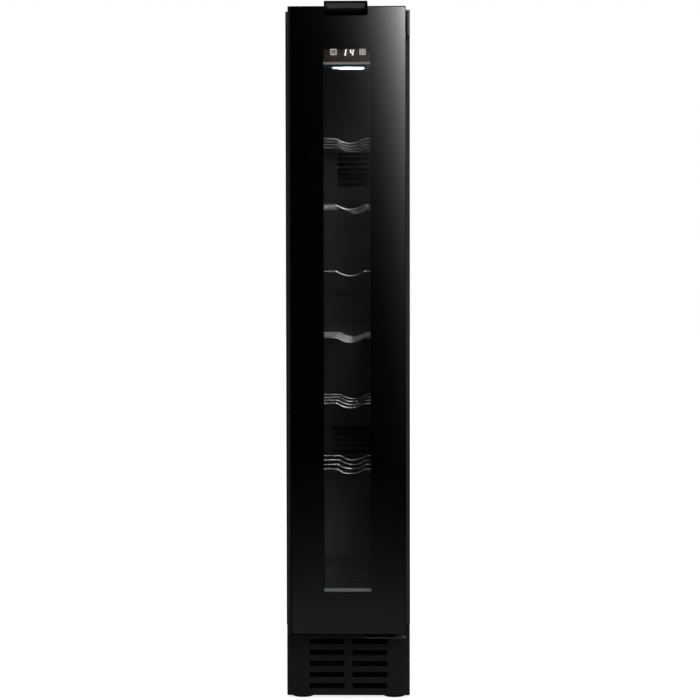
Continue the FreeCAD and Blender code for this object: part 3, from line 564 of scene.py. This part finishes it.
WIRE_Y = (0.0, 0.0668, 0.1337, 0.2005)    # how far each cross wire lies behind the first
FIRST_WIRE, WIRE_INSET, WIRE_DROP = 0.004, 0.0033, 0.002    # from the rack's front, sides and top


def rack_welds():
    """Flattened weld beads where each cross wire meets a side wire."""
    for node in RACKS:
        low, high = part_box(node)
        bm = bmesh.new()
        z = high.z - WIRE_DROP
        for x in (low.x + WIRE_INSET, high.x - WIRE_INSET):
            for y in WIRE_Y:
                made = bmesh.ops.create_icosphere(bm, subdivisions=2, radius=0.0019)["verts"]
                bmesh.ops.scale(bm, vec=(1.0, 0.95, 0.85), verts=made)
                bmesh.ops.translate(bm, vec=(x, low.y + FIRST_WIRE + y, z), verts=made)
        piece_from(bm, node + "_welds", node, "rack_chrome")


SCREW_INSET, SCREW_SINK = 0.010, 0.0001


def rear_screws():
    """Screws down both sides of the rear panel and of the cover over the machine bay."""
    bm = bmesh.new()
    for node, count, height in (("rear_panel", 4, 0.0013), ("rear_cover", 3, 0.0016)):
        low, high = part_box(node)
        step = (high.z - low.z - 2 * SCREW_INSET) / (count - 1)
        for x in (low.x + SCREW_INSET, high.x - SCREW_INSET):
            for k in range(count):
                spot = (x, high.y - SCREW_SINK, low.z + SCREW_INSET + k * step)
                screw_head(bm, spot, (0, 1, 0), height)
    piece_from(bm, "rear_screws", "cabinet", "zinc_steel")


def dress_nodes():
    """Materials and smooth shading on every CAD node."""
    for node, piece in NODES.items():
        dress(piece, SLOT_OF[node])
        smooth(piece.data, 30)


dress_nodes()
soften_mouldings()
door_print()
gasket()
handle()
feet()
rack_welds()
rear_screws()


# ---------------------------------------------------------------- studio

def emitter(name, strength_nodes):
    """Glowing material; strength_nodes feeds its strength socket."""
    material = bpy.data.materials.new(name)
    material.use_nodes = True
    tree = material.node_tree
    tree.nodes.clear()
    output = tree.nodes.new("ShaderNodeOutputMaterial")
    light = tree.nodes.new("ShaderNodeEmission")
    tree.links.new(light.outputs["Emission"], output.inputs["Surface"])
    strength_nodes(tree, light.inputs["Strength"])
    return material


def plane(name, corners, material):
    """Flat studio surface, which isn't part of the object."""
    mesh = bpy.data.meshes.new(name)
    mesh.from_pydata(corners, [], [range(len(corners))])
    made = bpy.data.objects.new(name, mesh)
    bpy.context.scene.collection.objects.link(made)
    mesh.materials.append(material)
    return made


def only_in_reflections(card):
    """A light card that the glossy parts mirror and that lights nothing else."""
    card.visible_camera = False
    card.visible_diffuse = False
    card.visible_transmission = False
    card.visible_shadow = False
    card.visible_volume_scatter = False


def falloff(tree, axis, edge, length):
    """exp((coordinate - edge) / length), held at 1 past the edge."""
    coords = tree.nodes.new("ShaderNodeTexCoord")
    split = tree.nodes.new("ShaderNodeSeparateXYZ")
    tree.links.new(coords.outputs["Object"], split.inputs["Vector"])
    value = split.outputs[axis]
    for operation, number in (("SUBTRACT", edge), ("DIVIDE", length), ("MINIMUM", 0.0), ("EXPONENT", None)):
        maths = tree.nodes.new("ShaderNodeMath")
        maths.operation = operation
        tree.links.new(value, maths.inputs[0])
        if number is not None:
            maths.inputs[1].default_value = number
        value = maths.outputs[0]
    return value


CARD_Y, CARD_Z, CARD_HALF, CARD_TOP = -3.4, 0.002, 6.0, 6.0
FLOOR_HALF = 14.0
CARD_PEAK = 8.2
CARD_EDGE_X, CARD_FADE_X = 0.085, 0.040
CARD_EDGE_Z, CARD_FADE_Z = 1.20, 0.20
FLOOR_OWN_LIGHT = 0.8
FLOOR_GLOW = 0.16
FLOOR_GLOW_EDGE, FLOOR_GLOW_FADE = -0.85, 0.75


def card_strength(tree, socket):
    """Brightest at the upper right, fading to the left and downwards."""
    product = tree.nodes.new("ShaderNodeMath")
    product.operation = "MULTIPLY"
    tree.links.new(falloff(tree, "X", CARD_EDGE_X, CARD_FADE_X), product.inputs[0])
    tree.links.new(falloff(tree, "Z", CARD_EDGE_Z, CARD_FADE_Z), product.inputs[1])
    scaled = tree.nodes.new("ShaderNodeMath")
    scaled.operation = "MULTIPLY"
    scaled.inputs[1].default_value = CARD_PEAK
    tree.links.new(product.outputs[0], scaled.inputs[0])
    tree.links.new(scaled.outputs[0], socket)


def floor_card_strength(tree, socket):
    """Brightest near the object, fading towards the front."""
    scaled = tree.nodes.new("ShaderNodeMath")
    scaled.operation = "MULTIPLY"
    scaled.inputs[1].default_value = FLOOR_GLOW
    tree.links.new(falloff(tree, "Y", FLOOR_GLOW_EDGE, FLOOR_GLOW_FADE), scaled.inputs[0])
    tree.links.new(scaled.outputs[0], socket)


def studio():
    """White floor and surroundings, with the two cards that the door mirrors."""
    floor_paint = surface("floor_paint", (0.34, 0.34, 0.34), 0.85, specular=0.0, mottle=0.01, depth=0.00002)
    shader = floor_paint.node_tree.nodes["Principled BSDF"]
    shader.inputs["Emission Color"].default_value = (1, 1, 1, 1)
    shader.inputs["Emission Strength"].default_value = FLOOR_OWN_LIGHT
    corners = ((-1, -1), (1, -1), (1, 1), (-1, 1))
    plane("studio_floor", [(x * FLOOR_HALF, y * FLOOR_HALF, 0) for x, y in corners], floor_paint)
    left, right = (-CARD_HALF, CARD_Y, CARD_Z), (CARD_HALF, CARD_Y, CARD_Z)
    only_in_reflections(plane(
        "softbox_card", [left, right, (CARD_HALF, CARD_Y, CARD_TOP), (-CARD_HALF, CARD_Y, CARD_TOP)],
        emitter("softbox_glow", card_strength)))
    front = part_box("front_grille")[0].y
    only_in_reflections(plane(
        "floor_card", [left, right, (CARD_HALF, front, CARD_Z), (-CARD_HALF, front, CARD_Z)],
        emitter("floor_glow", floor_card_strength)))
    world = bpy.data.worlds.new("studio")
    bpy.context.scene.world = world
    world.use_nodes = True
    world.node_tree.nodes["Background"].inputs["Color"].default_value = (1, 1, 1, 1)
    world.node_tree.nodes["Background"].inputs["Strength"].default_value = 1.0


def area_light(name, place, aim, width, depth, watts, colour=(1, 1, 1)):
    """Rectangular lamp that doesn't show in reflections."""
    data = bpy.data.lights.new(name, "AREA")
    data.shape = "RECTANGLE"
    data.size, data.size_y = width, depth
    data.energy = watts
    data.color = colour
    made = bpy.data.objects.new(name, data)
    made.location = place
    made.rotation_mode = "QUATERNION"
    made.rotation_quaternion = (Vector(aim) - Vector(place)).to_track_quat("-Z", "Y")
    bpy.context.scene.collection.objects.link(made)
    made.visible_glossy = False


LAMP_WATTS, OVERHEAD_WATTS = 0.9, 30


def lamps():
    """The room's light from above, and the cooler's own lamp shining in and down."""
    area_light("overhead", (0.6, -1.6, 3.0), (0, 0, 0.4), 2.5, 2.5, OVERHEAD_WATTS)
    low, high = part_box("lamp_cover")
    x, y = (low.x + high.x) / 2, (low.y + high.y) / 2
    area_light("cabinet_lamp", (x, y, low.z - 0.001), (x, y + 0.30, low.z - 0.30),
               high.x - low.x, high.y - low.y, LAMP_WATTS, (0.80, 0.93, 1.0))


CAMERA_X, CAMERA_Z, CAMERA_DISTANCE = 0.055, 0.515, 2.65
FIELD_WIDTH = 0.821    # what the picture spans at the door's glass
SENSOR = 36.0
AIM_X, AIM_Z = 0.0033, 0.4192
ROLL = math.radians(-0.085)


def camera():
    """The photo's viewpoint: a little to the right, aimed slightly down at the door."""
    glass_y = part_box("door_glass")[0].y
    data = bpy.data.cameras.new("camera")
    data.sensor_width = SENSOR
    data.lens = SENSOR * CAMERA_DISTANCE / FIELD_WIDTH
    made = bpy.data.objects.new("camera", data)
    made.location = (CAMERA_X, glass_y - CAMERA_DISTANCE, CAMERA_Z)
    aim = Vector((AIM_X, glass_y, AIM_Z)) - made.location
    made.rotation_mode = "QUATERNION"
    made.rotation_quaternion = aim.to_track_quat("-Z", "Y") @ Quaternion((0, 0, 1), ROLL)
    bpy.context.scene.collection.objects.link(made)
    bpy.context.scene.camera = made


studio()
lamps()
camera()
bpy.context.scene.view_settings.view_transform = "Standard"
bpy.context.scene.cycles.use_denoising = True
